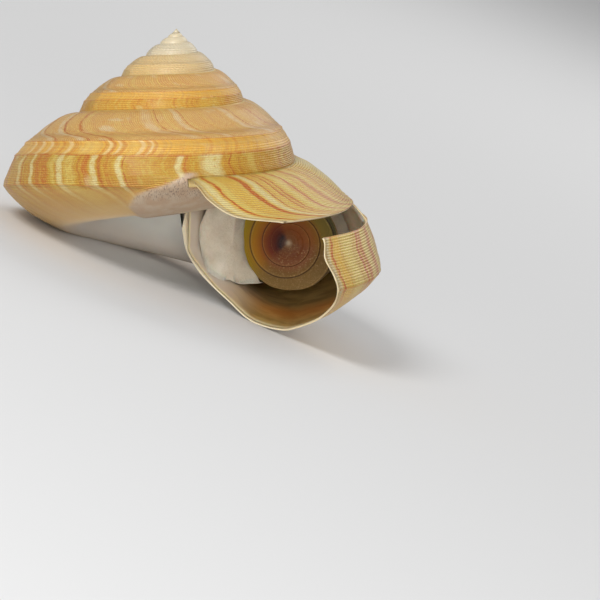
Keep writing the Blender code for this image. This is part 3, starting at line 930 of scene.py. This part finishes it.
def build_operculum():
    angle = np.linspace(0, math.tau, LID_STEPS, endpoint=False)
    share = np.linspace(0, 1, LID_RINGS + 1)[1:]
    share, angle = np.meshgrid(share, angle, indexing="ij")
    wander = sum(height * np.sin(count * angle + shift) for count, height, shift in LID_WANDER)
    flap = LID_FLAP / LID_RADIUS * bump_at(np.mod(angle, math.tau), LID_FLAP_ANGLE, 0.33)
    radius = LID_RADIUS * share * (1 + wander * share + flap * share ** 4)
    across = radius * np.cos(angle)
    down = radius * np.sin(angle)
    off = np.hypot(across - LID_NUCLEUS.x, down - LID_NUCLEUS.y)
    around = np.arctan2(down - LID_NUCLEUS.y, across - LID_NUCLEUS.x)
    dish = LID_DISH * (1 - share ** 2)
    front = dish - lid_relief(off, around)
    thick = LID_MARGIN + (LID_EDGE - LID_MARGIN) * smoothstep((1 - share) / 0.03)
    sides = [np.stack([across, height, -down], axis=-1).reshape(-1, 3) for height in (front, dish + thick)]
    points = np.concatenate([*sides, [[0, LID_DISH, 0], [0, LID_DISH + LID_EDGE, 0]]])
    size = LID_RINGS * LID_STEPS
    number = np.arange(size).reshape(LID_RINGS, LID_STEPS)
    following = np.roll(number, -1, axis=1)
    quads = np.stack([number[:-1], number[1:], following[1:], following[:-1]], axis=-1).reshape(-1, 4)
    back = quads[:, ::-1] + size
    rim = np.stack([number[-1], number[-1] + size, following[-1] + size, following[-1]], axis=-1)
    middle = np.stack([np.full(LID_STEPS, 2 * size), number[0], following[0]], axis=-1)
    behind = np.stack([np.full(LID_STEPS, 2 * size + 1), following[0] + size, number[0] + size], axis=-1)
    spread = np.concatenate([off.ravel(), off.ravel(), [0, 0]]) / MM
    turning = np.concatenate([around.ravel(), around.ravel(), [0, 0]])
    whole = np.concatenate([share.ravel(), share.ravel(), [0, 0]])
    values = np.stack([spread, np.cos(turning), np.sin(turning), whole, whole, whole], axis=-1)
    faces = [quads, back, rim, middle, behind]
    points = to_rest(points + np.array(LID_CENTRE))
    made = mesh_object("operculum_disc", points, faces, [values[group] for group in faces])
    made.data.materials.append(horn_material())
    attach(made, "root")
    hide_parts("operculum")


def horn_material():
    """Horn, in its own directions: radius from the nucleus in mm, and how far to the right and down."""
    horn = Material("horn")
    radius, right, down = horn.attribute("coil")
    place = horn.object_place()
    speckle = noise_at(place, 3400.0, 5.0, 0.7)
    wide = noise_at(place, 420.0, 3.0)
    around = (down.math("ARCTAN2", right) * (1 / math.tau) + 1.0).math("FRACT")
    turns = (radius.math("MAXIMUM", 0.05) * (1 / LID_COIL)).math("LOGARITHM", math.e)
    part = (turns * (1 / math.log(LID_GROWTH)) - around + 20.0).math("FRACT")
    spread = radius * (1 / 7.5) + (wide - 0.5) * 0.06

    left = colours_along(spread, (0.0, "8C7A68"), (0.09, "4E362C"), (0.17, "281C20"), (0.28, "481404"),
                         (0.42, "622402"), (0.58, "804600"), (0.74, "966400"), (0.88, "8A6A00"),
                         (1.0, "8E7600"))
    low = colours_along(spread, (0.0, "9C8468"), (0.10, "6C482E"), (0.3, "643210"), (0.52, "744420"),
                        (0.66, "6C4C1C"), (1.0, "7C6030"))
    side = colours_along(spread, (0.0, "9C8468"), (0.10, "6E4424"), (0.3, "743A08"), (0.50, "7C460C"),
                         (0.66, "785006"), (0.74, "705C1A"), (0.95, "62561E"), (1.0, "403A14"))
    downward = step(down + right * 0.35, 0.15, 0.75)
    tint = mix(step(right, -0.15, -0.75), side, left)
    tint = mix(downward * 0.9, tint, low)
    # Painted sheen: lighter speckles, strongest on the lower part, stand in for the horn's silky glints
    sheen_speckle = step(speckle, 0.5, 0.72)
    glint = mix(downward, "8A6426", "B08C5C")
    tint = mix(sheen_speckle * (downward * 0.42 + 0.10), tint, glint)
    groove = band(part, 0.90, 0.98, 0.04) * step(radius, 2.4, 4.0)
    tint = mix(groove * 0.85, tint, "241406")
    # A painted highlight along the crests of the coils' margins
    crest_highlight = band(part, 0.80, 0.86, 0.03) * step(radius, 1.8, 3.8)
    tint = mix(crest_highlight * (sheen_speckle * 0.3 + 0.12), tint, "C9A25A")
    tint = mix(step(radius, 0.5, 0.1) * 0.5, tint, "A8977C")  # the nucleus
    tint = mix(step(radius, 7.7, 7.95), tint, "6B5A36")  # the margin
    normal = bump(speckle * 0.6 + noise_at(place, 3800.0, 3.0, 0.6) * 0.4, 0.0001)
    return horn.shade(Base_Color=tint, Roughness=0.38, Normal=normal, Specular_IOR_Level=0.15)


# The wad

WAD_LOOPS = (  # azimuth round the coil axis, size against the tube, and reach past the lid's edge
    (36, 0.70, None), (30, 0.88, None), (20, 0.95, None), (10, 0.97, None), (2, 0.97, None),
    (-9, 0.99, 1.2), (-18, 0.99, 1.2), (-24, 0.99, 1.2), (-29, 0.99, 1.2), (-36, 0.99, 1.2), (-43, 0.97, 1.2),
)
WAD_GAP = 0.08 * MM
WAD_FRONT_ACROSS = (0, 3, 5, 7, 9, 11.3, 13, 30)  # distance to the right of the coil axis, in mm
WAD_FRONT_REACH = (-1.5, -2.7, -4.0, -4.8, -4.4, -3.5, -2.2, -1.9)  # and how far the front reaches there
WAD_UNDER_ACROSS = (4, 7, 11.6, 15, 30)  # and where the front's lower edge runs
WAD_UNDER_DEPTH = (-36.5, -38.8, -40.1, -40.1, -39.8)
WAD_BEHIND = -1.9 * MM
WAD_FLAP_ROOM = 1.3 * MM  # how far it stays clear of the operculum's flap
WAD_STEPS = 120
WAD_ROWS = 90
WAD_FLUFF = 0.3 * MM
WAD_BULGE = 0.9 * MM
WAD_BACK_CAPS = (0.15, 0.4, 0.6, 0.8, 0.92)  # sizes of the rings that close its two ends
WAD_FRONT_CAPS = (0.985, 0.95, 0.87, 0.74, 0.56, 0.34, 0.12)
LUMPS = ((0.32, 0.9), (0.9, 0.35), (2.4, 0.12))  # how close together the wad's lumps are, and their heights


def tube_loop(azimuth, size, reach):
    """A loop of places across the tube at an azimuth, cut off beside the lid where a reach is given."""
    angle = LIP_AZIMUTH - azimuth
    place = np.linspace(1.6, 19.7, 130)
    away, down = outward(place)
    thick = wall_thickness(place, np.full_like(place, -80.0)) + WAD_GAP
    radius = outline_radius(place) - away * thick
    depth = outline_depth(place) - down * thick
    wall = coil_point(radius, depth, np.full_like(place, angle))
    roof = np.linspace(15.3, 9.6, 60)
    older = coil_point(outline_radius(roof), outline_depth(roof), np.full_like(roof, angle - 360.0))
    older[:, 2] -= 0.6 * MM
    loop = np.concatenate([wall, older])
    middle = loop.mean(axis=0)
    loop = middle + (loop - middle) * size
    if reach is None:
        return loop
    limit = LID_CENTRE.x - LID_RADIUS + reach * MM
    return cut_loop(loop, limit)


def cut_loop(loop, limit):
    """What is left of a loop on the inner side of an upright cut."""
    kept = []
    for one, two in zip(loop, np.roll(loop, -1, axis=0)):
        if one[0] <= limit:
            kept.append(one)
        if (one[0] <= limit) != (two[0] <= limit):
            share = (limit - one[0]) / (two[0] - one[0])
            kept.append(one + (two - one) * share)
    return np.array(kept)


def even_loop(loop, steps):
    """The loop with evenly spaced places, starting from the one nearest to the coil axis, low down."""
    start = int(np.argmin(np.hypot(loop[:, 0], loop[:, 1]) + (loop[:, 2] + 0.035) * 0.5))
    loop = np.roll(loop, -start, axis=0)
    closed = np.concatenate([loop, loop[:1]])
    lengths = np.concatenate([[0], np.cumsum(np.linalg.norm(np.diff(closed, axis=0), axis=1))])
    spots = np.linspace(0, lengths[-1], steps, endpoint=False)
    return np.stack([np.interp(spots, lengths, closed[:, axis]) for axis in range(3)], axis=-1)


def build_wad():
    loops = np.array([even_loop(tube_loop(*item), WAD_STEPS) for item in WAD_LOOPS])
    rows = np.linspace(0, len(loops) - 1, WAD_ROWS)
    near = np.minimum(rows.astype(int), len(loops) - 2)
    part = (rows - near)[:, None, None]
    grid = loops[near] * (1 - part) + loops[near + 1] * part
    for _ in range(3):
        grid = (np.roll(grid, 1, axis=1) + 2 * grid + np.roll(grid, -1, axis=1)) / 4
    back = grid[0].mean(axis=0)
    front = grid[-1].mean(axis=0)
    forward = np.array([0, -WAD_BULGE, 0])
    back_caps = [grid[0] * share + back * (1 - share) for share in WAD_BACK_CAPS]
    front_caps = [grid[-1] * share + front * (1 - share) + forward * (1 - share ** 2)
                  for share in WAD_FRONT_CAPS]
    grid = np.concatenate([back_caps, grid, front_caps])
    points = grid.reshape(-1, 3)
    centres = np.array([grid[0].mean(axis=0), grid[-1].mean(axis=0) + forward * 0.02])
    count = len(grid)
    number = np.arange(count * WAD_STEPS).reshape(count, WAD_STEPS)
    following = np.roll(number, -1, axis=1)
    quads = np.stack([number[:-1], following[:-1], following[1:], number[1:]], axis=-1).reshape(-1, 4)
    back = np.stack([np.full(WAD_STEPS, count * WAD_STEPS), following[0], number[0]], axis=-1)
    front = np.stack([np.full(WAD_STEPS, count * WAD_STEPS + 1), number[-1], following[-1]], axis=-1)
    points = fluff(held_back(np.concatenate([points, centres])))
    faces = [quads, back, front]
    blank = np.zeros((len(points), 6))
    made = mesh_object("cotton_filling", to_rest(points), faces, [blank[group] for group in faces])
    made.data.materials.append(cotton_material())
    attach(made, "root")
    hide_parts("cotton_wad")


def held_back(points):
    """The front: up to the columella on the left, less far low down, and curving in behind the lid's edge."""
    across = points[:, 0] / MM
    front = np.interp(across, WAD_FRONT_ACROSS, WAD_FRONT_REACH) * MM
    front *= 1 + 0.35 * smoothstep((points[:, 2] / MM + 36) / 4) * smoothstep((9 - across) / 4)
    aside = across * MM - LID_CENTRE.x
    above = points[:, 2] - LID_CENTRE.z
    flap = WAD_FLAP_ROOM * bump_at(np.arctan2(above, -aside), LID_FLAP_ANGLE - math.pi, 0.4)
    off = np.hypot(aside, above) - LID_RADIUS - flap
    front = WAD_BEHIND + (np.minimum(front, WAD_BEHIND) - WAD_BEHIND) * smoothstep(off / (1.2 * MM))
    moved = points.copy()
    moved[:, 1] = np.maximum(points[:, 1], front)
    right = smoothstep((across - 11) / 4)
    room = (LID_RADIUS - 0.3 * MM) / (np.hypot(aside, above) + 1e-9)
    squeeze = 1 - right + right * np.minimum(1, room)
    squeeze = 1 + (squeeze - 1) * smoothstep((10 * MM - points[:, 1]) / (4 * MM))
    moved[:, 0] = LID_CENTRE.x + (moved[:, 0] - LID_CENTRE.x) * squeeze
    moved[:, 2] = LID_CENTRE.z + (moved[:, 2] - LID_CENTRE.z) * squeeze
    under = (np.interp(across, WAD_UNDER_ACROSS, WAD_UNDER_DEPTH) + 0.25 * np.sin(across * 1.9)) * MM
    moved[:, 2] += np.maximum(0, under - moved[:, 2]) * smoothstep((10 * MM - points[:, 1]) / (5 * MM))
    return moved


def fluff(points):
    """Soft lumps: each place moves a little towards or away from the wad's own middle line."""
    middle = points.mean(axis=0)
    moved = points.copy()
    for number, place in enumerate(points):
        spot = Vector(place) / MM
        lump = sum(noise.noise(spot * close) * height for close, height in LUMPS)
        away = place - middle
        length = np.linalg.norm(away) + 1e-9
        moved[number] = place - away / length * WAD_FLUFF * (0.35 - lump)
    return moved


def cotton_material():
    cotton = Material("cotton")
    place = cotton.object_place()
    fibres = noise_at(place, 2100.0, 5.0, 0.7, 0.8)
    tint = colours_along(noise_at(place, 260.0, 3.0), (0.3, "C2B39C"), (0.5, "CFC3AD"), (0.7, "DDD4C1"))
    tint = mix(step(fibres, 0.35, 0.7) * 0.25, tint, "E4DBCB")
    return cotton.shade(Base_Color=tint, Roughness=0.95, Normal=bump(fibres, 0.00018), Sheen_Weight=0.3,
                        Subsurface_Weight=0.25, Subsurface_Scale=0.001)


# Camera, floor and light

VIEW_ELEVATION = 3  # of the photo's camera over the plane square to the coil axis
VIEW_ROLL = 3  # how far the coil axis leans to the right in the photo
CAMERA_DISTANCE = 0.8
TIP_PIXEL = (176.8, 28.7)
MIDDLE_PIXEL = (190, 180)
FRAME_MIDDLE = 300
SENSOR = 36
FLOOR_SIZE = 30
FLOOR_GREY = (0.76, 0.76, 0.76, 1)
LIGHTS = (  # name, place, size and power
    ("key", (-0.42, -0.62, 0.52), 0.32, 4.4),
    ("front", (0.0, -0.94, 0.13), 0.40, 3.8),
    ("side", (0.75, -0.62, 0.22), 0.35, 0.6),
    ("back", (0.25, 0.6, 0.5), 0.5, 1.6),
)
LIGHT_AIM = Vector((0, 0, 0.02))
SKY_STRENGTH = 0.42


def add_camera():
    elevation = math.radians(VIEW_ELEVATION)
    roll = math.radians(VIEW_ROLL)
    turn = rest_matrix().to_3x3()
    look = turn @ Vector((0, math.cos(elevation), -math.sin(elevation)))
    level = turn @ Vector((1, 0, 0))
    rise = turn @ Vector((0, math.sin(elevation), math.cos(elevation)))
    right = level * math.cos(roll) + rise * math.sin(roll)
    up = rise * math.cos(roll) - level * math.sin(roll)

    def at_pixel(across, down):
        """The point at the coil axis's depth that the photo shows at that pixel."""
        return REST_PLACE + (right * (across - TIP_PIXEL[0]) - up * (down - TIP_PIXEL[1])) * PIXEL

    place = at_pixel(*MIDDLE_PIXEL) - look * CAMERA_DISTANCE
    aim = (at_pixel(FRAME_MIDDLE, FRAME_MIDDLE) - place).normalized()
    side = aim.cross(up).normalized()
    top = side.cross(aim)
    data = bpy.data.cameras.new("camera")
    data.sensor_width = SENSOR
    data.lens = SENSOR * CAMERA_DISTANCE / (2 * FRAME_MIDDLE * PIXEL)
    data.clip_start = 0.01
    data.clip_end = 60
    camera = bpy.data.objects.new("camera", data)
    camera.matrix_world = Matrix.Translation(place) @ Matrix((side, top, -aim)).transposed().to_4x4()
    bpy.context.collection.objects.link(camera)
    bpy.context.scene.camera = camera


def add_floor():
    half = FLOOR_SIZE / 2
    corners = [(-half, -half, 0), (half, -half, 0), (half, half, 0), (-half, half, 0)]
    data = bpy.data.meshes.new("floor")
    data.from_pydata(corners, [], [(0, 1, 2, 3)])
    data.materials.append(Material("floor").shade(Base_Color=FLOOR_GREY, Roughness=0.9))
    floor = bpy.data.objects.new("floor", data)
    bpy.context.collection.objects.link(floor)


def add_lights():
    for name, place, size, power in LIGHTS:
        data = bpy.data.lights.new(name, "AREA")
        data.shape = "DISK"
        data.size = size
        data.energy = power
        light = bpy.data.objects.new(name, data)
        light.location = place
        light.rotation_mode = "QUATERNION"
        light.rotation_quaternion = (LIGHT_AIM - Vector(place)).to_track_quat("-Z", "Y")
        bpy.context.collection.objects.link(light)
    world = bpy.data.worlds.new("studio")
    bpy.context.scene.world = world
    world.use_nodes = True
    background = world.node_tree.nodes["Background"]
    background.inputs["Color"].default_value = (1, 1, 1, 1)
    background.inputs["Strength"].default_value = SKY_STRENGTH


add_camera()
add_floor()
add_lights()
build_shell()
build_operculum()
build_wad()
bpy.context.scene.view_settings.view_transform = "Standard"
